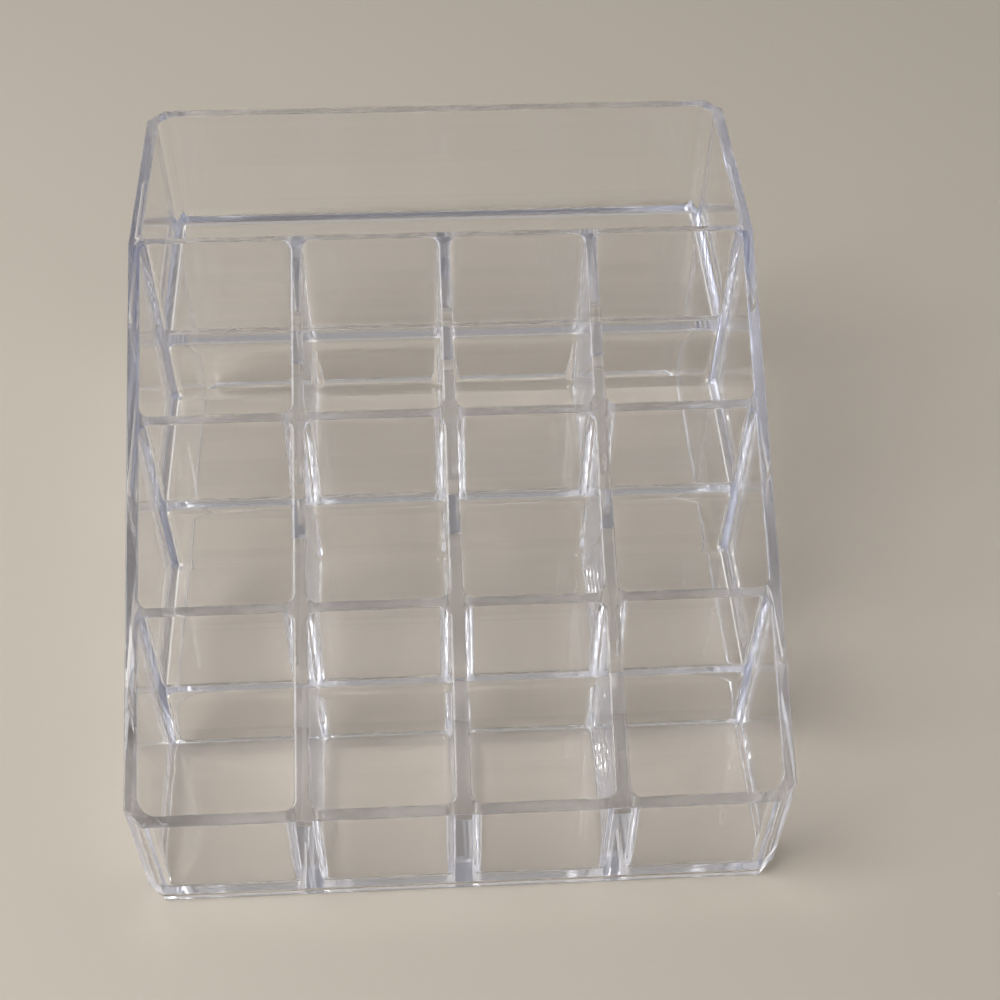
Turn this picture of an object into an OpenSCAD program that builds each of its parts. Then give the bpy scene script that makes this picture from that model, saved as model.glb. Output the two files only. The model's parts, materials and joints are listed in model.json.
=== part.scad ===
// Clear stepped organizer: three rows of four cells that rise towards the back,
// with one wide slot behind them. The walls lean out from the foot, the corners
// are cut off at 45 degrees, and the inner corners of the cells are rounded.
// Origin: middle of the foot, on the table. The low front faces -Y.

/* [Outer walls] */

// Width across the side walls at the foot
base_w = 108.2; // [84:0.1:150]

// Depth over the front and back walls at the foot
base_d = 127.4; // [122:0.1:170]

// Height of the back wall, and of the side walls behind the slope
back_h = 70.5; // [64:0.5:90]

// Height of the front wall
front_h = 25; // [18:0.5:32]

// Thickness of the four outer walls
wall_t = 2.1; // [1.2:0.1:3]

// Outward lean of the outer walls in degrees
wall_draft = 0.7; // [0.3:0.1:1.5]

// Leg of the flat that cuts each outer corner
corner_leg = 3.1; // [2:0.1:6]

/* [Rows and tiers] */

// Clear depth of the front row of cells, at the top of its partition
front_row_clear = 28.5; // [24:0.1:31]

// Clear depth of the middle and rear rows, at the top of their partitions
row_clear = 27.8; // [24:0.1:30]

// Thickness of a cross partition at its top
partition_t = 1.4; // [1:0.1:2]

// Lean of each face of a cross partition in degrees
partition_draft = 0.8; // [0.3:0.1:1.2]

// Height of the lowest floor's upper face
front_floor_z = 2.6; // [2.4:0.1:5]

// Rise from each row's floor to the next one
tier_rise = 15.6; // [10:0.1:18]

// Rise from the rear row's floor to the floor of the back slot
slot_rise = 13.4; // [5:0.1:16]

// Thickness of the floors
floor_t = 1.9; // [1.2:0.1:2.2]

/* [Dividers] */

// Spacing of the three dividers in each row
divider_pitch = 25.9; // [18:0.1:27]

// Thickness of a divider at the height of the back wall
divider_t = 2; // [1.4:0.1:3]

// Lean of each face of a divider in degrees
divider_draft = 0.45; // [0.2:0.05:1]

/* [Rounding] */

// Radius of the upright fillets in the corners of the cells, and of the coves
// along their floors
fillet_r = 2.2; // [1:0.1:3]

// Depth that a fillet's circle is sunk into the faces that it joins
fillet_seat = 0.1; // [0.05:0.01:0.2]

/* [Hidden] */

// Overrun of cutting bodies past the faces that they trim
over = 1;

// Faces per full turn of a fillet
$fn = 48;

clear_tint = [0.86, 0.87, 0.92, 0.45];

// Outer and inner faces of the walls at height z
wall_lean = tan(wall_draft);
function outer_x(z) = base_w / 2 + z * wall_lean;
function inner_x(z) = outer_x(z) - wall_t;
function front_y(z) = -base_d / 2 - z * wall_lean;
function front_inner_y(z) = front_y(z) + wall_t;
function back_y(z) = base_d / 2 + z * wall_lean;
function back_inner_y(z) = back_y(z) - wall_t;

// Distance of the corner flats from the upright axis through the origin
function outer_corner(z) = (outer_x(z) + back_y(z) - corner_leg) * cos(45);
function inner_corner(z) = outer_corner(z) - wall_t;

// Length that a corner flat takes from the wall beside it, at the inner face
corner_reach = corner_leg + wall_t * tan(22.5);

// Sloping rim: from the inner top edge of the front wall to the rear partition
slope_start_y = front_inner_y(front_h);
slope_end_y = row_face_y(2);
function rim_z(y) = front_h + (back_h - front_h) * (y - slope_start_y) / (slope_end_y - slope_start_y);

// Rows are numbered 0, 1 and 2 from the front, and the back slot is 3.
// Each partition closes its row at the back and shares the row's number.
rib_lean = tan(partition_draft);
function row_face_y(row) = slope_start_y + front_row_clear + row * (row_clear + partition_t);
function crest_z(row) = min(back_h, rim_z(row_face_y(row)));
function clear_z(row) = min(back_h, rim_z(row_face_y(row) + partition_t)) + over;
function partition_front_y(row, z) = row_face_y(row) - (crest_z(row) - z) * rib_lean;
function partition_back_y(row, z) = row_face_y(row) + partition_t + (crest_z(row) - z) * rib_lean;
function near_y(row, z) = row == 0 ? front_inner_y(z) : partition_back_y(row - 1, z);
function far_y(row, z) = row == 3 ? back_inner_y(z) : partition_front_y(row, z);
function floor_z(row) = front_floor_z + min(row, 2) * tier_rise + (row == 3 ? slot_rise : 0);

// Half thickness of a divider at height z
divider_lean = tan(divider_draft);
function divider_half(z) = divider_t / 2 + (back_h - z) * divider_lean;

// Upright outline in Y and Z, drawn out along X
module along_x(points, length) {
    rotate([90, 0, 90])
        linear_extrude(length, center = true)
            polygon(points);
}

// Upright outline in X and Z, drawn out along Y
module along_y(points, length) {
    rotate([90, 0, 0])
        linear_extrude(length, center = true)
            polygon(points);
}

// Outer form of the whole organizer, with its sloping rim
module outer_form() {
    intersection() {
        rim_profile();
        along_y([[-outer_x(0), 0], [outer_x(0), 0], [outer_x(back_h), back_h], [-outer_x(back_h), back_h]],
            base_d + 2 * back_h);
        for (turn = [-45, 45])
            rotate([0, 0, turn])
                along_y([[-outer_corner(0), 0], [outer_corner(0), 0],
                    [outer_corner(back_h), back_h], [-outer_corner(back_h), back_h]],
                    base_d + 2 * back_h);
    }
}

// Everything below the sloping rim, between the leaning front and back faces
module rim_profile() {
    along_x([[front_y(0), 0], [back_y(0), 0], [back_y(back_h), back_h], [slope_end_y, back_h],
        [slope_start_y, front_h], [front_y(front_h), front_h]],
        base_w + 2 * back_h);
}

// Room inside the four walls, open at the top and at the foot
module inner_form() {
    low = -over;
    high = back_h + over;
    intersection() {
        along_x([[front_inner_y(low), low], [back_inner_y(low), low],
            [back_inner_y(high), high], [front_inner_y(high), high]],
            base_w + 2 * back_h);
        side_room(low, high);
        for (turn = [-45, 45])
            rotate([0, 0, turn])
                along_y([[-inner_corner(low), low], [inner_corner(low), low],
                    [inner_corner(high), high], [-inner_corner(high), high]],
                    base_d + 2 * back_h);
    }
}

// Room between the two side walls
module side_room(low, high) {
    along_y([[-inner_x(low), low], [inner_x(low), low], [inner_x(high), high], [-inner_x(high), high]],
        base_d + 2 * back_h);
}

// End wall with its two corner flats: side -1 is the front, 1 is the back
module end_wall(side) {
    reach = base_d / 2 - corner_reach;
    color(clear_tint)
        intersection() {
            difference() {
                outer_form();
                inner_form();
            }
            translate([0, side * (reach + base_d / 2), back_h / 2])
                cube([base_w + 2 * back_h, base_d, back_h + 2 * over], center = true);
        }
}

// Side wall between the corner flats: side -1 is the left, 1 is the right
module side_wall(side) {
    reach = base_d / 2 - corner_reach;
    color(clear_tint)
        intersection() {
            along_x([[-reach, 0], [reach, 0], [reach, back_h], [slope_end_y, back_h], [-reach, rim_z(-reach)]],
                base_w + 2 * back_h);
            along_y([[side * inner_x(0), 0], [side * outer_x(0), 0],
                [side * outer_x(back_h), back_h], [side * inner_x(back_h), back_h]],
                base_d + 2 * back_h);
        }
}

// Upright concave fillet in the corner of two leaning faces that meet at [x, y]
// at height z. It fills the corner towards side_x and side_y, and its axis
// leans by lean_x and lean_y degrees on the way up.
module corner_fillet(x, y, z, height, side_x, side_y, lean_x, lean_y) {
    block = fillet_r + fillet_t();
    translate([x, y, z])
        rotate([-lean_y, lean_x, 0])
            mirror([side_x < 0 ? 1 : 0, 0, 0])
                mirror([0, side_y < 0 ? 1 : 0, 0])
                    translate([-fillet_seat, -fillet_seat, 0])
                        difference() {
                            translate([-fillet_t(), -fillet_t(), 0])
                                cube([block, block, height]);
                            translate([fillet_r, fillet_r, -over])
                                cylinder(r = fillet_r, h = height + 2 * over);
                        }
}

// Depth that a fillet's block reaches into the plate that carries it
function fillet_t() = min(divider_t, partition_t) / 4;

// Cross partition, with fillets where it meets the side walls
module partition(row) {
    foot = floor_z(row) - floor_t;
    high = clear_z(row);
    width = base_w + 2 * back_h;
    color(clear_tint)
        intersection() {
            side_room(0, high);
            rim_profile();
            union() {
                along_x([[partition_front_y(row, foot), foot], [partition_back_y(row, foot), foot],
                    [partition_back_y(row, high), high], [partition_front_y(row, high), high]], width);
                for (facing = [-1, 1])
                    partition_fillets(row, facing);
            }
        }
}

// Fillets at both ends of a partition, on its front face (-1) or back face (1),
// from the floor on that side up
module partition_fillets(row, facing) {
    z = floor_z(facing < 0 ? row : row + 1);
    y = facing < 0 ? partition_front_y(row, z) : partition_back_y(row, z);
    start = z - over;
    intersection() {
        for (side = [-1, 1])
            corner_fillet(side * inner_x(start), y + facing * over * rib_lean, start, clear_z(row) - start,
                -side, facing, side * wall_draft, -facing * partition_draft);
        translate([-base_w, -base_d, z])
            cube([2 * base_w, 2 * base_d, back_h]);
    }
}

// Floor of one row, fitted between the walls and the partitions, with a cove
// along every wall, partition and divider that it meets
module tier_floor(row) {
    top = floor_z(row);
    foot = top - floor_t;
    color(clear_tint)
        union() {
            row_slice(row, foot, top);
            difference() {
                row_slice(row, foot, top + fillet_r);
                for (cell = [0 : row == 3 ? 0 : 3])
                    cell_room(row, cell);
                if (row > 0)
                    partition_fillets(row - 1, 1);
                if (row < 3) {
                    partition_fillets(row, -1);
                    for (column = [-1, 0, 1])
                        divider_form(row, column);
                }
            }
        }
}

// Room of one row between the heights low and high
module row_slice(row, low, high) {
    intersection() {
        inner_form();
        along_x([[near_y(row, low), low], [far_y(row, low), low],
            [far_y(row, high), high], [near_y(row, high), high]],
            base_w + 2 * back_h);
    }
}

// Room of one cell with rounded lower edges. Cells count from the left, and
// the back slot is one cell over the full width.
module cell_room(row, cell) {
    foot = floor_z(row);
    high = foot + 2 * fillet_r;
    divider_low = divider_half(foot);
    divider_high = divider_half(high);
    first = cell == 0 || row == 3;
    last = cell == 3 || row == 3;
    left = (cell - 2) * divider_pitch;
    right = (cell - 1) * divider_pitch;
    intersection() {
        rotate([90, 0, 90])
            linear_extrude(base_w + 2 * back_h, center = true)
                trough(near_y(row, foot), far_y(row, foot), near_y(row, high), far_y(row, high), foot, high);
        rotate([90, 0, 0])
            linear_extrude(base_d + 2 * back_h, center = true)
                trough(first ? -inner_x(foot) : left + divider_low, last ? inner_x(foot) : right - divider_low,
                    first ? -inner_x(high) : left + divider_high, last ? inner_x(high) : right - divider_high,
                    foot, high);
        for (turn = [-45, 45])
            rotate([0, 0, turn])
                rotate([90, 0, 0])
                    linear_extrude(base_d + 2 * back_h, center = true)
                        trough(-inner_corner(foot), inner_corner(foot),
                            -inner_corner(high), inner_corner(high), foot, high);
    }
}

// Upright outline between two leaning sides, at start and end at the foot and
// at high_start and high_end above, with rounded lower corners
module trough(start, end, high_start, high_end, foot, high) {
    rise = fillet_r - fillet_seat;
    for (x = [start + rise, end - rise])
        translate([x, foot + rise])
            circle(r = fillet_r);
    polygon([[start + rise, foot - fillet_seat], [end - rise, foot - fillet_seat],
        [end - rise, foot + rise], [high_end, foot + rise], [high_end, high],
        [high_start, high], [high_start, foot + rise], [start + rise, foot + rise]]);
}

// Divider of one row: column -1, 0 or 1
module divider(row, column) {
    foot = floor_z(row);
    high = clear_z(row);
    color(clear_tint)
        intersection() {
            rim_profile();
            along_x([[near_y(row, foot), foot], [far_y(row, foot), foot],
                [far_y(row, high), high], [near_y(row, high), high]],
                base_w + 2 * back_h);
            divider_form(row, column);
        }
}

// Untrimmed divider with the fillets that flare its two ends
module divider_form(row, column) {
    foot = floor_z(row);
    high = clear_z(row);
    start = foot - over;
    translate([column * divider_pitch, 0, 0])
        union() {
            along_y([[-divider_half(foot), foot], [divider_half(foot), foot],
                [divider_half(high), high], [-divider_half(high), high]],
                base_d + 2 * back_h);
            for (side = [-1, 1]) {
                corner_fillet(side * divider_half(start), near_y(row, start), start, high - start,
                    side, 1, -side * divider_draft, row == 0 ? -wall_draft : -partition_draft);
                corner_fillet(side * divider_half(start), far_y(row, start), start, high - start,
                    side, -1, -side * divider_draft, partition_draft);
            }
        }
}

end_wall(-1);  // front_wall
end_wall(1);  // back_wall
side_wall(-1);  // left_wall
side_wall(1);  // right_wall
partition(0);  // front_partition
partition(1);  // middle_partition
partition(2);  // rear_partition
tier_floor(0);  // front_floor
tier_floor(1);  // middle_floor
tier_floor(2);  // rear_floor
tier_floor(3);  // back_slot_floor
divider(0, -1);  // front_left_divider
divider(0, 0);  // front_centre_divider
divider(0, 1);  // front_right_divider
divider(1, -1);  // middle_left_divider
divider(1, 0);  // middle_centre_divider
divider(1, 1);  // middle_right_divider
divider(2, -1);  // rear_left_divider
divider(2, 0);  // rear_centre_divider
divider(2, 1);  // rear_right_divider
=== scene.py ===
import json
import math

import bmesh
import bpy
from mathutils import Matrix, Vector
from mathutils.bvhtree import BVHTree
from mathutils.interpolate import poly_3d_calc


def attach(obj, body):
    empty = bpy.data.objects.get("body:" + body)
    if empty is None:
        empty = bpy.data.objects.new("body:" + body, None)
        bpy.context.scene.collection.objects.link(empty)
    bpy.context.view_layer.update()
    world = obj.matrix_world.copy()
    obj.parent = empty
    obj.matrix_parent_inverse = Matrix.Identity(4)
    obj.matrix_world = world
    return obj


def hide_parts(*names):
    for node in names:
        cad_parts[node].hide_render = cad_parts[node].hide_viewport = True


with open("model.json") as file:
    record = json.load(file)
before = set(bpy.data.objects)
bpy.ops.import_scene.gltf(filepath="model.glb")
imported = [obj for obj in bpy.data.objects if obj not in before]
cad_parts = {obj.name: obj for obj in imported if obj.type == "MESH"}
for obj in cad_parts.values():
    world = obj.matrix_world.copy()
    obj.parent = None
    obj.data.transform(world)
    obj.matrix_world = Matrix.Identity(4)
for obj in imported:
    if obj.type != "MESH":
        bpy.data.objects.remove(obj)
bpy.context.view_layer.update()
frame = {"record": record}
MM = 0.001
EIGHTH = math.pi / 4

# Sizes of the organizer in millimetres, the same as in the CAD model
BASE_W = 108.2
BASE_D = 127.4
BACK_H = 70.5
FRONT_H = 25.0
WALL_T = 2.1
WALL_LEAN = math.tan(math.radians(0.7))
CORNER_LEG = 3.1
FRONT_ROW_CLEAR = 28.5
ROW_CLEAR = 27.8
PARTITION_T = 1.4
PARTITION_LEAN = math.tan(math.radians(0.8))
FRONT_FLOOR_Z = 2.6
TIER_RISE = 15.6
SLOT_RISE = 13.4
FLOOR_T = 1.9
DIVIDER_PITCH = 25.9
DIVIDER_T = 2.0
DIVIDER_LEAN = math.tan(math.radians(0.45))

# Rows run from the front to the back, and the last is the wide slot. Columns
# run from the left to the right.
ROWS = ("front", "middle", "rear")
COLUMNS = 4
DIVIDERS = ("left", "centre", "right")
SLOT_ROW = 3

# Roundings that the moulding has, as radii in millimetres. BEND_R is that of
# inner corners that turn by 45 degrees. RIM_SPREAD is a share, by which the
# rims of side walls and dividers are rounded wider than deep. LEAST_R is the
# least radius of a cell's corners at the foot of its coves.
CELL_R = 1.65
BEND_R = 3.1
COVE_R = 1.5
SLOT_COVE_R = 2.6
LEAST_R = 0.15
RIM_R = 0.28
RIM_SPREAD = 1.2
RIM_TURN = math.radians(75)
FOOT_R = 0.4
EDGE_R = 0.5
HOLLOW_R = 2.2

# How many faces make up a rounding
COVE_STEPS = 8
EDGE_STEPS = 3
HOLLOW_STEPS = 5
BEND_STEPS = 4

# How far cutters reach, in millimetres: OVER the ends of a row, ABOVE the rim,
# BELOW the foot, and SEAT into the part that they stand against
OVER = 1.0
ABOVE = 3.0
BELOW = 3.0
SEAT = 0.5

# Heights below and above the whole organizer, and a distance beyond its sides
LOW = -5.0
HIGH = 80.0
FAR = 90.0


def outer_x(z):
    return BASE_W / 2 + z * WALL_LEAN


def inner_x(z):
    return outer_x(z) - WALL_T


def front_y(z):
    return -BASE_D / 2 - z * WALL_LEAN


def front_reach(z):
    return -front_y(z)


def back_y(z):
    return BASE_D / 2 + z * WALL_LEAN


def outer_corner(z):
    """Distance from the middle to a cut-off corner's outer face."""
    return (outer_x(z) + back_y(z) - CORNER_LEG) / math.sqrt(2)


def inner_corner(z):
    return outer_corner(z) - WALL_T


SLOPE_START = front_y(FRONT_H) + WALL_T


def row_face(row):
    """Front of the partition behind a row, at its rim."""
    return SLOPE_START + FRONT_ROW_CLEAR + row * (ROW_CLEAR + PARTITION_T)


SLOPE_END = row_face(2)


def rim_z(y):
    share = (y - SLOPE_START) / (SLOPE_END - SLOPE_START)
    return FRONT_H + (BACK_H - FRONT_H) * min(1.0, max(0.0, share))


def partition_front(row, z):
    return row_face(row) - (rim_z(row_face(row)) - z) * PARTITION_LEAN


def partition_back(row, z):
    return row_face(row) + PARTITION_T + (rim_z(row_face(row)) - z) * PARTITION_LEAN


def near_y(row, z):
    """Front end of a row's room."""
    return front_y(z) + WALL_T if row == 0 else partition_back(row - 1, z)


def far_y(row, z):
    """Back end of a row's room."""
    return back_y(z) - WALL_T if row == SLOT_ROW else partition_front(row, z)


def floor_z(row):
    slot_rise = SLOT_RISE if row == SLOT_ROW else 0.0
    return FRONT_FLOOR_Z + min(row, 2) * TIER_RISE + slot_rise


def underside_z(row):
    return floor_z(row) - FLOOR_T


def divider_half(z):
    return DIVIDER_T / 2 + (BACK_H - z) * DIVIDER_LEAN


def level(z):
    """Height of a level ring, as a function of y."""
    return lambda y: z


def under_rim(drop):
    """Height of a ring that follows the sloping rim, as a function of y."""
    return lambda y: rim_z(y) - drop


def quarter_turns(steps):
    return [math.pi / 2 * k / steps for k in range(steps + 1)]


PASSES = 4


def ring(sides, radius, outset, height, steps, breaks=None, bend=None, spread=0.0):
    """Closed outline round convex sides, given as (angle, distance at z), with
    rounded corners and a break point on some sides. height gives z for a y,
    bend is the radius where the outline turns by 45 degrees, and spread moves
    the sides that face left and right further out. The height and the place of
    a point follow from each other, so both are found in a few passes."""
    points = []
    for k, (angle, reach) in enumerate(sides):
        side = (k + 1) % len(sides)
        turn, next_reach = sides[side]
        span = (turn - angle) % (2 * math.pi)
        corner_r = bend if bend and span < 1.5 * EIGHTH else radius
        for step in range(steps + 1):
            theta = angle + span * step / steps
            z = height(0.0)
            for _ in range(PASSES):
                a = reach(z) - corner_r
                b = next_reach(z) - corner_r
                x = (a * math.sin(turn) - b * math.sin(angle)) / math.sin(span)
                y = (b * math.cos(angle) - a * math.cos(turn)) / math.sin(span)
                x += (corner_r + outset + spread) * math.cos(theta)
                y += (corner_r + outset) * math.sin(theta)
                z = height(y)
            points.append((x, y, z))
        if breaks and side in breaks:
            y = breaks[side]
            z = height(y)
            x = (next_reach(z) + outset - y * math.sin(turn)) / math.cos(turn)
            points.append((x, y, z))
    return points


def new_object(name, mesh):
    obj = bpy.data.objects.new(name, mesh)
    bpy.context.collection.objects.link(obj)
    return obj


def loft(name, rings, creases=()):
    """Mesh through rings of equal count, closed at both ends. The upper cap is
    split where y passes a crease."""
    count = len(rings[0])
    verts = [tuple(c * MM for c in point) for points in rings for point in points]
    faces = []
    for lower in range(len(rings) - 1):
        a = lower * count
        b = a + count
        for k in range(count):
            n = (k + 1) % count
            faces.append((a + k, a + n, b + n, b + k))
    faces.append(tuple(reversed(range(count))))
    top = (len(rings) - 1) * count
    near = 1e-6
    limits = (-math.inf,) + tuple(creases) + (math.inf,)
    for start, end in zip(limits, limits[1:]):
        between = [k for k, (_, y, _) in enumerate(rings[-1]) if start - near <= y <= end + near]
        faces.append(tuple(top + k for k in between))
    mesh = bpy.data.meshes.new(name)
    mesh.from_pydata(verts, [], faces)
    mesh.validate()
    return new_object(name, mesh)


def outer_sides():
    reaches = (outer_x, outer_corner, back_y, outer_corner, outer_x, outer_corner, front_reach, outer_corner)
    return [(k * EIGHTH, reach) for k, reach in enumerate(reaches)]


def outer_block():
    """The organizer's outer form, with rounded foot, corner and rim edges."""
    sides = outer_sides()
    breaks = {0: SLOPE_END, 4: SLOPE_END, 5: SLOPE_START, 7: SLOPE_START}
    rings = []
    for turn in quarter_turns(EDGE_STEPS):
        inset = FOOT_R * (1 - math.sin(turn))
        rise = FOOT_R * (1 - math.cos(turn))
        rings.append(ring(sides, EDGE_R, -inset, level(rise), EDGE_STEPS, breaks))
    for turn in quarter_turns(EDGE_STEPS):
        inset = RIM_R * (1 - math.cos(turn))
        drop = RIM_R * (1 - math.sin(turn))
        rings.append(ring(sides, EDGE_R, -inset, under_rim(drop), EDGE_STEPS, breaks))
    return loft("outer", rings, (SLOPE_START, SLOPE_END))


def divider_x(column):
    """Middle of the divider to the right of a column."""
    return (column - 1) * DIVIDER_PITCH


def cell_sides(row, column):
    """Walls round one cell. Column None is the full width of the back slot."""
    sides = []
    if column in (COLUMNS - 1, None):
        sides.append((0.0, inner_x))
    else:
        sides.append((0.0, lambda z: divider_x(column) - divider_half(z)))
    if row == SLOT_ROW:
        sides.append((EIGHTH, inner_corner))
    sides.append((2 * EIGHTH, lambda z: far_y(row, z)))
    if row == SLOT_ROW:
        sides.append((3 * EIGHTH, inner_corner))
    if column in (0, None):
        sides.append((4 * EIGHTH, inner_x))
    else:
        sides.append((4 * EIGHTH, lambda z: -(divider_x(column - 1) + divider_half(z))))
    if row == 0 and column == 0:
        sides.append((5 * EIGHTH, inner_corner))
    sides.append((6 * EIGHTH, lambda z: -near_y(row, z)))
    if row == 0 and column == COLUMNS - 1:
        sides.append((7 * EIGHTH, inner_corner))
    return sides


def cell_cutter(row, column):
    """Room of one cell: rounded floor edges, upright corners and rim edges."""
    sides = cell_sides(row, column)
    foot = floor_z(row)
    cove = SLOT_COVE_R if row == SLOT_ROW else COVE_R
    rings = []
    for turn in quarter_turns(COVE_STEPS):
        inset = cove * (1 - math.sin(turn))
        height = level(foot + cove * (1 - math.cos(turn)))
        rings.append(ring(sides, max(CELL_R, inset + LEAST_R), -inset, height, COVE_STEPS, bend=BEND_R))
    rim = []
    for k in range(EDGE_STEPS + 1):
        turn = RIM_TURN * k / EDGE_STEPS
        out = RIM_R * (1 - math.cos(turn))
        drop = RIM_R * (1 - math.sin(turn))
        rim.append((out, drop))
    out += 2 * drop / math.tan(math.pi / 2 - RIM_TURN)
    rim += [(out, -drop), (out, -ABOVE)]
    for out, drop in rim:
        wider = out * RIM_SPREAD
        rings.append(ring(sides, CELL_R, out, under_rim(drop), COVE_STEPS, bend=BEND_R, spread=wider))
    return loft("cell", rings)


def hollow_cutter():
    """Stepped room under the floors, open at the foot, with rounded edges."""
    profile = [(front_y(0) + WALL_T, -BELOW), (front_y(0) + WALL_T, underside_z(0))]
    for row in range(len(ROWS)):
        for z in (underside_z(row), underside_z(row + 1)):
            profile.append((partition_back(row, z), z))
    top = underside_z(SLOT_ROW)
    profile += [(back_y(top) - WALL_T, top), (back_y(-BELOW) - WALL_T, -BELOW)]
    bm = bmesh.new()
    left = [bm.verts.new((-inner_x(z) * MM, y * MM, z * MM)) for y, z in profile]
    right = [bm.verts.new((inner_x(z) * MM, y * MM, z * MM)) for y, z in profile]
    count = len(profile)
    for k in range(count):
        n = (k + 1) % count
        bm.faces.new((left[k], left[n], right[n], right[k]))
    bm.faces.new(list(reversed(left)))
    bm.faces.new(right)
    bmesh.ops.recalc_face_normals(bm, faces=bm.faces)
    # The edges at the foot and those of the low front floor stay sharp
    lowest = 1.0 * MM
    riser = 10.0 * MM
    rounded = []
    for edge in bm.edges:
        start, end = sorted(v.co.z for v in edge.verts)
        if start > lowest or (end > lowest and end - start > riser):
            rounded.append(edge)
    bmesh.ops.bevel(bm, geom=rounded, offset=HOLLOW_R * MM, segments=HOLLOW_STEPS, affect="EDGES",
                    profile=0.5, clamp_overlap=True)
    mesh = bpy.data.meshes.new("hollow")
    bm.to_mesh(mesh)
    bm.free()
    hollow = new_object("hollow", mesh)
    for side in (-1, 1):
        wedge = corner_wedge(side)
        cut(hollow, wedge)
        discard(wedge)
    return hollow


def block(corners):
    """Six-sided block from its four lower and four upper corners, in order."""
    mesh = bpy.data.meshes.new("block")
    faces = [(0, 1, 2, 3), (7, 6, 5, 4), (0, 4, 5, 1), (1, 5, 6, 2), (2, 6, 7, 3), (3, 7, 4, 0)]
    mesh.from_pydata([tuple(c * MM for c in corner) for corner in corners], [], faces)
    bm = bmesh.new()
    bm.from_mesh(mesh)
    bmesh.ops.recalc_face_normals(bm, faces=bm.faces)
    bm.to_mesh(mesh)
    bm.free()
    return new_object("block", mesh)


def corner_wedge(side):
    """Block that keeps a rear corner flat of the wall in the hollow."""
    half = 15.0
    depth = 10.0
    top = 60.0
    corners = []
    for z in (LOW, top):
        for along, out in ((-half, 0.0), (half, 0.0), (half, depth), (-half, depth)):
            reach = inner_corner(z) + out
            corners.append((side * (reach - along) / math.sqrt(2), (reach + along) / math.sqrt(2), z))
    return block(corners)


def leaning_block(low, high, x_low, x_high, y_low, y_high):
    """Block between heights low and high whose four sides are functions of z."""
    sides = ((x_low, y_low), (x_high, y_low), (x_high, y_high), (x_low, y_high))
    return block([(x(z), y(z), z) for z in (low, high) for x, y in sides])


def flat(value):
    """An upright side of a leaning block."""
    return lambda z: value


def shifted(face, row, by):
    """A face of a row moved back by a distance, as a side of a leaning block."""
    return lambda z: face(row, z) + by


def slab(y_low, y_high, x_high=FAR):
    """Upright block through the whole height of the organizer."""
    return leaning_block(LOW, HIGH, flat(-FAR), flat(x_high), flat(y_low), flat(y_high))


def inner_block(inset):
    """Room inside the four walls and their corner flats, smaller by inset."""
    sides = [(angle, lambda z, reach=reach: reach(z) - WALL_T - inset) for angle, reach in outer_sides()]
    rings = [ring(sides, BEND_R - inset, 0.0, level(z), BEND_STEPS) for z in (LOW, BACK_H - LOW)]
    return loft("inner", rings)


def cut(target, cutter, operation="DIFFERENCE"):
    """Boolean of the target with the cutter, applied to the target's mesh."""
    mod = target.modifiers.new("cut", "BOOLEAN")
    mod.operation = operation
    mod.object = cutter
    mod.solver = "MANIFOLD"
    mesh = bpy.data.meshes.new_from_object(target.evaluated_get(bpy.context.evaluated_depsgraph_get()))
    target.modifiers.remove(mod)
    old = target.data
    target.data = mesh
    bpy.data.meshes.remove(old)


def discard(obj):
    mesh = obj.data
    bpy.data.objects.remove(obj)
    bpy.data.meshes.remove(mesh)


# Every mesh has two material slots, one for the moulding's own faces and one
# for the faces where two parts of it meet. Booleans keep each face's slot.
OUTSIDE_SLOT = 0
JOINT_SLOT = 1
slots = [bpy.data.materials.new("outside"), bpy.data.materials.new("joint")]


def use_slots(mesh, index):
    """Give a mesh the two material slots of a part, with every face in one."""
    mesh.materials.clear()
    for mat in slots:
        mesh.materials.append(mat)
    for polygon in mesh.polygons:
        polygon.material_index = index


def take(source, *cutters):
    """Cut the share inside the joined cutters out of the source and return it."""
    cutter = cutters[0]
    for other in cutters[1:]:
        cut(cutter, other, "UNION")
        discard(other)
    use_slots(cutter.data, JOINT_SLOT)
    piece = new_object("part", source.data.copy())
    cut(piece, cutter, "INTERSECT")
    cut(source, cutter)
    discard(cutter)
    return piece


# The whole moulding

body = outer_block()
for row in range(len(ROWS)):
    for column in range(COLUMNS):
        room = cell_cutter(row, column)
        cut(body, room)
        discard(room)
for room in (cell_cutter(SLOT_ROW, None), hollow_cutter()):
    cut(body, room)
    discard(room)

# The moulding is split where its walls, floors and ribs meet. SKIN keeps each
# joint just clear of the visible faces, and ROOT takes in the fillets.
SKIN = 0.15
ROOT = 1.9
WALL_REACH = BASE_D / 2 - CORNER_LEG - WALL_T * math.tan(EIGHTH / 2)


def wall_band(side, depth):
    """Both x limits, as functions of z, of a band along one side wall."""
    limits = [lambda z: side * (inner_x(z) - depth), lambda z: side * FAR]
    return limits if side == 1 else limits[::-1]


def partition_cutters(row):
    """Blocks that hold a partition and the fillets at its two ends, above the
    floors and below them."""
    front = shifted(partition_front, row, -SKIN)
    back = shifted(partition_back, row, SKIN)
    blocks = [leaning_block(LOW, HIGH, flat(-FAR), flat(FAR), front, back)]
    deep = HOLLOW_R + SKIN
    for side in (-1, 1):
        band = wall_band(side, ROOT)
        deep_band = wall_band(side, deep)
        front = shifted(partition_front, row, -ROOT)
        back = shifted(partition_front, row, SEAT)
        blocks.append(leaning_block(floor_z(row) + SKIN, HIGH, *band, front, back))
        front = shifted(partition_back, row, -SEAT)
        back = shifted(partition_back, row, ROOT)
        blocks.append(leaning_block(floor_z(row + 1) + SKIN, HIGH, *band, front, back))
        back = shifted(partition_back, row, deep)
        blocks.append(leaning_block(LOW, underside_z(row + 1) - HOLLOW_R, *deep_band, front, back))
    return blocks


def divider_band(column, by):
    """Both x limits, as functions of z, of a divider made thicker on each side."""
    middle = divider_x(column)
    return [lambda z: middle - divider_half(z) - by, lambda z: middle + divider_half(z) + by]


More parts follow.
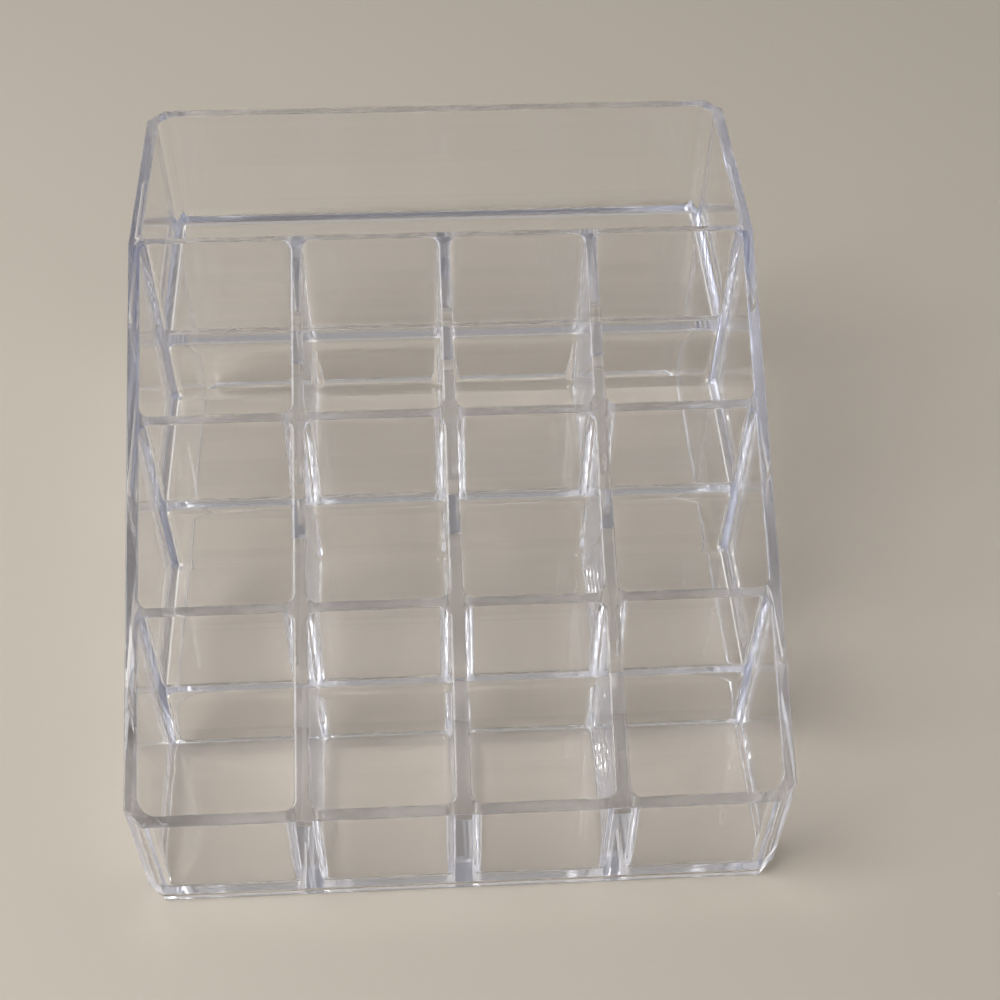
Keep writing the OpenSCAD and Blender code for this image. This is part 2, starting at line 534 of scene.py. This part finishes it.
def divider_cutters(row, column):
    """Blocks that hold a divider and the fillets at its two ends."""
    thin = divider_band(column, SKIN)
    wide = divider_band(column, ROOT)
    foot = floor_z(row) + SKIN
    near = shifted(near_y, row, -OVER)
    far = shifted(far_y, row, OVER)
    return [leaning_block(foot, HIGH, *thin, near, far),
            leaning_block(foot, HIGH, *wide, near, shifted(near_y, row, ROOT)),
            leaning_block(foot, HIGH, *wide, shifted(far_y, row, -ROOT), far)]


parts = {}
use_slots(body.data, OUTSIDE_SLOT)
rest = new_object("rest", body.data.copy())
inner = take(rest, inner_block(SKIN))
parts["front_wall"] = take(rest, slab(-FAR, -WALL_REACH))
parts["back_wall"] = take(rest, slab(WALL_REACH, FAR))
parts["left_wall"] = take(rest, slab(-FAR, FAR, 0.0))
parts["right_wall"] = rest
for row, name in enumerate(ROWS):
    parts[name + "_partition"] = take(inner, *partition_cutters(row))
for row, name in enumerate(ROWS):
    for column, place in enumerate(DIVIDERS):
        parts[f"{name}_{place}_divider"] = take(inner, *divider_cutters(row, column))
for row, name in enumerate(ROWS):
    parts[name + "_floor"] = take(inner, slab(-FAR, row_face(row) + SEAT))
parts["back_slot_floor"] = inner

# Looks

# Share of red, green and blue lost in a metre of plastic, as exponents
ABSORBED_PER_METRE = (5.0, 4.6, 3.2)
FACE_TINT = (0.981, 0.979, 0.977, 1.0)
PLASTIC_IOR = 1.5

# Heights of the plastic's bumps in metres, and how close together they are
RIPPLE_HEIGHT = 0.000015
SCRATCH_HEIGHT = 0.000002
STREAK_HEIGHT = 0.00004
RIPPLE_SCALE = 55.0
SCRATCH_SCALE = 420.0
STREAK_SCALE = (900.0, 900.0, 110.0)

# The plastic goes from its glossiest to its dullest roughness with its marks
MARKS_RANGE = (0.45, 0.75)
ROUGHNESS_RANGE = (0.012, 0.07)

# The streaks come in with how much a face looks along both x and y
SLANT_RANGE = (0.08, 0.35)

FLOOR_COLOUR = (0.60, 0.545, 0.48, 1.0)
FLOOR_ROUGHNESS = 0.55
FLOOR_SIZE = 3.0
FLOOR_DROP = 0.00002


def material(name):
    mat = bpy.data.materials.new(name)
    mat.use_nodes = True
    mat.node_tree.nodes.clear()
    return mat


def node(mat, kind, **values):
    """Node with some of its settings and plain input values."""
    made = mat.node_tree.nodes.new(kind)
    for key, value in values.items():
        if hasattr(made, key) and key not in made.inputs:
            setattr(made, key, value)
        else:
            made.inputs[key].default_value = value
    return made


def join(mat, source, target):
    """Feed an input from a socket, or give it a plain value."""
    if isinstance(source, bpy.types.NodeSocket):
        mat.node_tree.links.new(source, target)
    else:
        target.default_value = source


def calculate(mat, operation, first, second=0.5, clamp=False):
    made = node(mat, "ShaderNodeMath", operation=operation, use_clamp=clamp)
    join(mat, first, made.inputs[0])
    join(mat, second, made.inputs[1])
    return made.outputs[0]


def remap(mat, source, start, end, low=0.0, high=1.0, kind="LINEAR"):
    """Value that goes from low to high while the source goes from start to end."""
    made = node(mat, "ShaderNodeMapRange", interpolation_type=kind)
    made.inputs["From Min"].default_value = start
    made.inputs["From Max"].default_value = end
    made.inputs["To Min"].default_value = low
    made.inputs["To Max"].default_value = high
    join(mat, source, made.inputs["Value"])
    return made.outputs[0]


def blend(mat, share, first, second):
    """Colour that goes from the first to the second with the share."""
    made = node(mat, "ShaderNodeMix", data_type="RGBA")
    join(mat, first, made.inputs["A"])
    join(mat, second, made.inputs["B"])
    join(mat, share, made.inputs["Factor"])
    return made.outputs["Result"]


def noise(mat, place, stretch=None, **values):
    made = node(mat, "ShaderNodeTexNoise", **values)
    if stretch:
        mapping = node(mat, "ShaderNodeMapping")
        mapping.inputs["Scale"].default_value = stretch
        join(mat, place, mapping.inputs["Vector"])
        place = mapping.outputs[0]
    join(mat, place, made.inputs["Vector"])
    return made.outputs[0]


def bump(mat, height, distance, normal=None):
    made = node(mat, "ShaderNodeBump", Strength=1.0, Distance=distance)
    join(mat, height, made.inputs["Height"])
    if normal is not None:
        join(mat, normal, made.inputs["Normal"])
    return made.outputs[0]


def clear_plastic(name, grain):
    """Clear moulded plastic. Light that has run far inside it comes out blue
    grey. The grain stretches its fine marks along the way the part was polished,
    and the fillets, which face two ways at once, have fine upright streaks."""
    mat = material(name)
    out = node(mat, "ShaderNodeOutputMaterial")
    path = node(mat, "ShaderNodeLightPath")
    geometry = node(mat, "ShaderNodeNewGeometry")
    place = node(mat, "ShaderNodeTexCoord")

    left = node(mat, "ShaderNodeCombineColor")
    for channel, per_metre in zip(("Red", "Green", "Blue"), ABSORBED_PER_METRE):
        share = calculate(mat, "POWER", math.exp(-per_metre), path.outputs["Ray Length"])
        join(mat, share, left.inputs[channel])
    tint = blend(mat, geometry.outputs["Backfacing"], FACE_TINT, left.outputs[0])

    marks = noise(mat, place.outputs["Object"], grain, Scale=SCRATCH_SCALE, Detail=4.0, Roughness=0.6)
    flow = noise(mat, place.outputs["Object"], Scale=RIPPLE_SCALE, Detail=1.0)
    gloss = remap(mat, marks, *MARKS_RANGE, *ROUGHNESS_RANGE)

    facing = node(mat, "ShaderNodeSeparateXYZ")
    join(mat, place.outputs["Normal"], facing.inputs[0])
    slant = calculate(mat, "MULTIPLY", facing.outputs["X"], facing.outputs["Y"])
    fillets = remap(mat, calculate(mat, "ABSOLUTE", slant), *SLANT_RANGE, kind="SMOOTHSTEP")
    streaks = noise(mat, place.outputs["Object"], STREAK_SCALE, Scale=1.0, Detail=3.0, Roughness=0.55)
    drawn = calculate(mat, "MULTIPLY", streaks, fillets)

    normal = bump(mat, flow, RIPPLE_HEIGHT)
    normal = bump(mat, marks, SCRATCH_HEIGHT, normal)
    normal = bump(mat, drawn, STREAK_HEIGHT, normal)
    shader = node(mat, "ShaderNodeBsdfGlass", IOR=PLASTIC_IOR)
    join(mat, gloss, shader.inputs["Roughness"])
    join(mat, normal, shader.inputs["Normal"])
    join(mat, tint, shader.inputs["Color"])
    join(mat, shader.outputs[0], out.inputs["Surface"])
    return mat


def fill_joint_material(mat):
    """Where two parts of the one moulding meet there is nothing to see."""
    mat.use_nodes = True
    mat.node_tree.nodes.clear()
    out = node(mat, "ShaderNodeOutputMaterial")
    join(mat, node(mat, "ShaderNodeBsdfTransparent").outputs[0], out.inputs["Surface"])


def floor_material():
    mat = material("floor")
    out = node(mat, "ShaderNodeOutputMaterial")
    shader = node(mat, "ShaderNodeBsdfPrincipled", Roughness=FLOOR_ROUGHNESS)
    shader.inputs["Base Color"].default_value = FLOOR_COLOUR
    join(mat, shader.outputs[0], out.inputs["Surface"])
    return mat


# How each slot's fine marks are scaled along x, y and z: small values draw
# them out
FINE = 1.0
LONG = 0.06
GRAIN = {"clear_wall": (FINE, LONG, FINE), "clear_partition": (LONG, FINE, FINE),
         "clear_floor": (FINE, FINE, FINE), "clear_divider": (FINE, LONG, FINE)}
plastics = {slot: clear_plastic(slot, grain) for slot, grain in GRAIN.items()}
fill_joint_material(slots[JOINT_SLOT])

# Smooth normals of the whole moulding, so that no shade line shows at a joint
SHARP_ANGLE = math.radians(38)

# A normal is looked up a little inward from a face's corner, and is used where
# it looks the same way as the face
SAME_WAY = 0.9
INWARD = 0.002
for polygon in body.data.polygons:
    polygon.use_smooth = True
body.data.set_sharp_from_angle(angle=SHARP_ANGLE)
weighted = body.modifiers.new("weighted", "WEIGHTED_NORMAL")
weighted.keep_sharp = True
whole = bpy.data.meshes.new_from_object(body.evaluated_get(bpy.context.evaluated_depsgraph_get()))
whole.calc_loop_triangles()
corner_normals = [Vector(n.vector) for n in whole.corner_normals]
triangles = list(whole.loop_triangles)
tree = BVHTree.FromPolygons([v.co for v in whole.vertices], [t.vertices for t in triangles])


def whole_normal(spot, own):
    """Smooth normal of the whole moulding at a spot, or the face's own normal
    where the nearest face of the moulding looks another way."""
    place, normal, index, _ = tree.find_nearest(spot)
    if normal.dot(own) <= SAME_WAY:
        return own
    triangle = triangles[index]
    weights = poly_3d_calc([whole.vertices[v].co for v in triangle.vertices], place)
    return sum((corner_normals[c] * w for c, w in zip(triangle.loops, weights)), Vector()).normalized()


def finish_piece(obj, name, slot):
    """Give a part its materials, and the smooth normals of the whole moulding."""
    mesh = obj.data
    obj.name = mesh.name = name
    mesh.materials[OUTSIDE_SLOT] = plastics[slot]
    mesh.calc_loop_triangles()
    largest = {}
    for triangle in mesh.loop_triangles:
        known = largest.get(triangle.polygon_index)
        if known is None or triangle.area > known.area:
            largest[triangle.polygon_index] = triangle
    normals = [None] * len(mesh.loops)
    for polygon in mesh.polygons:
        polygon.use_smooth = True
        corners = largest[polygon.index].vertices
        centre = sum((mesh.vertices[v].co for v in corners), Vector()) / 3
        for loop in polygon.loop_indices:
            normals[loop] = polygon.normal
            if polygon.material_index == OUTSIDE_SLOT:
                spot = mesh.vertices[mesh.loops[loop].vertex_index].co
                normals[loop] = whole_normal(spot.lerp(centre, INWARD), polygon.normal)
    mesh.normals_split_custom_set(normals)
    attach(obj, "root")


for subpart in frame["record"]["subparts"]:
    name = subpart["node"]
    slot = subpart["material_slot"]
    finish_piece(parts[name], name + "_moulded", slot)
    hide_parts(name)
discard(body)

bpy.ops.mesh.primitive_plane_add(size=FLOOR_SIZE, location=(0, 0, -FLOOR_DROP))
floor = bpy.context.object
floor.name = "floor"
floor.data.materials.append(floor_material())

# Camera, as the photograph was taken

FOCAL_PX = 1597.6
IMAGE_PX = 1000.0
SENSOR = 36.0
CLIP_START = 0.01
CAMERA_AT = Vector((-4.58, -196.09, 250.05)) * MM
CAMERA_TURN = -0.0701
CAMERA_TILT = 0.7255
CAMERA_ROLL = 0.0206
camera = bpy.data.objects.new("camera", bpy.data.cameras.new("camera"))
camera.data.sensor_width = SENSOR
camera.data.lens = FOCAL_PX / IMAGE_PX * SENSOR
camera.data.clip_start = CLIP_START
turned = Matrix.Rotation(CAMERA_TURN, 4, "Z")
tilted = Matrix.Rotation(CAMERA_TILT, 4, "X")
rolled = Matrix.Rotation(CAMERA_ROLL, 4, "Z")
camera.matrix_world = Matrix.Translation(CAMERA_AT) @ turned @ tilted @ rolled
bpy.context.collection.objects.link(camera)
bpy.context.scene.camera = camera

# Light

# The room that the plastic shows, with its front, back and sides, and the
# light that the room gives the floor
ROOM_SEEN = (0.56, 0.54, 0.53, 1.0)
ROOM_FRONT = (0.32, 0.305, 0.29, 1.0)
ROOM_BACK = (0.42, 0.405, 0.395, 1.0)
ROOM_SIDES = (0.95, 0.92, 0.89, 1.0)
ROOM_LIGHT = (0.355, 0.345, 0.32, 1.0)

# Where each colour comes in, along y for the front and back and x for the sides
FRONT_RANGE = (-0.2, -0.65)
BACK_RANGE = (0.2, 0.65)
SIDES_RANGE = (0.2, 0.75)

world = bpy.data.worlds.new("world")
bpy.context.scene.world = world
world.use_nodes = True

# Rays that a rough surface has scattered meet the plain light instead
seen = node(world, "ShaderNodeLightPath")
view = calculate(world, "ADD", seen.outputs["Is Camera Ray"], seen.outputs["Is Glossy Ray"])
through = calculate(world, "ADD", view, seen.outputs["Is Transmission Ray"], clamp=True)
direct = calculate(world, "LESS_THAN", seen.outputs["Diffuse Depth"], 0.5)
shown_share = calculate(world, "MULTIPLY", through, direct)
axes = node(world, "ShaderNodeSeparateXYZ")
join(world, node(world, "ShaderNodeTexCoord").outputs["Generated"], axes.inputs[0])
aside = calculate(world, "ABSOLUTE", axes.outputs["X"])
shown = ROOM_SEEN
for source, limits, colour in ((axes.outputs["Y"], FRONT_RANGE, ROOM_FRONT),
                               (axes.outputs["Y"], BACK_RANGE, ROOM_BACK),
                               (aside, SIDES_RANGE, ROOM_SIDES)):
    shown = blend(world, remap(world, source, *limits, kind="SMOOTHSTEP"), shown, colour)
room_colour = blend(world, shown_share, ROOM_LIGHT, shown)
join(world, room_colour, world.node_tree.nodes["Background"].inputs["Color"])

LAMP_PLACE = Vector((-0.40, -0.14, 0.60))
LAMP_SIZE = 0.4
LAMP_POWER = 3.3
lamp = bpy.data.lights.new("key", "AREA")
lamp.shape = "SQUARE"
lamp.size = LAMP_SIZE
lamp.energy = LAMP_POWER
key = bpy.data.objects.new("key", lamp)
key.location = LAMP_PLACE
key.rotation_euler = (-LAMP_PLACE).to_track_quat("-Z", "Y").to_euler()
bpy.context.collection.objects.link(key)

bpy.context.scene.view_settings.view_transform = "Standard"

# Light runs a long way inside clear plastic, so paths through it are kept long
LONGEST_PATH = 128
cycles = bpy.context.scene.cycles
cycles.max_bounces = LONGEST_PATH
cycles.glossy_bounces = LONGEST_PATH
cycles.transmission_bounces = LONGEST_PATH
cycles.transparent_max_bounces = LONGEST_PATH
cycles.blur_glossy = 0.0
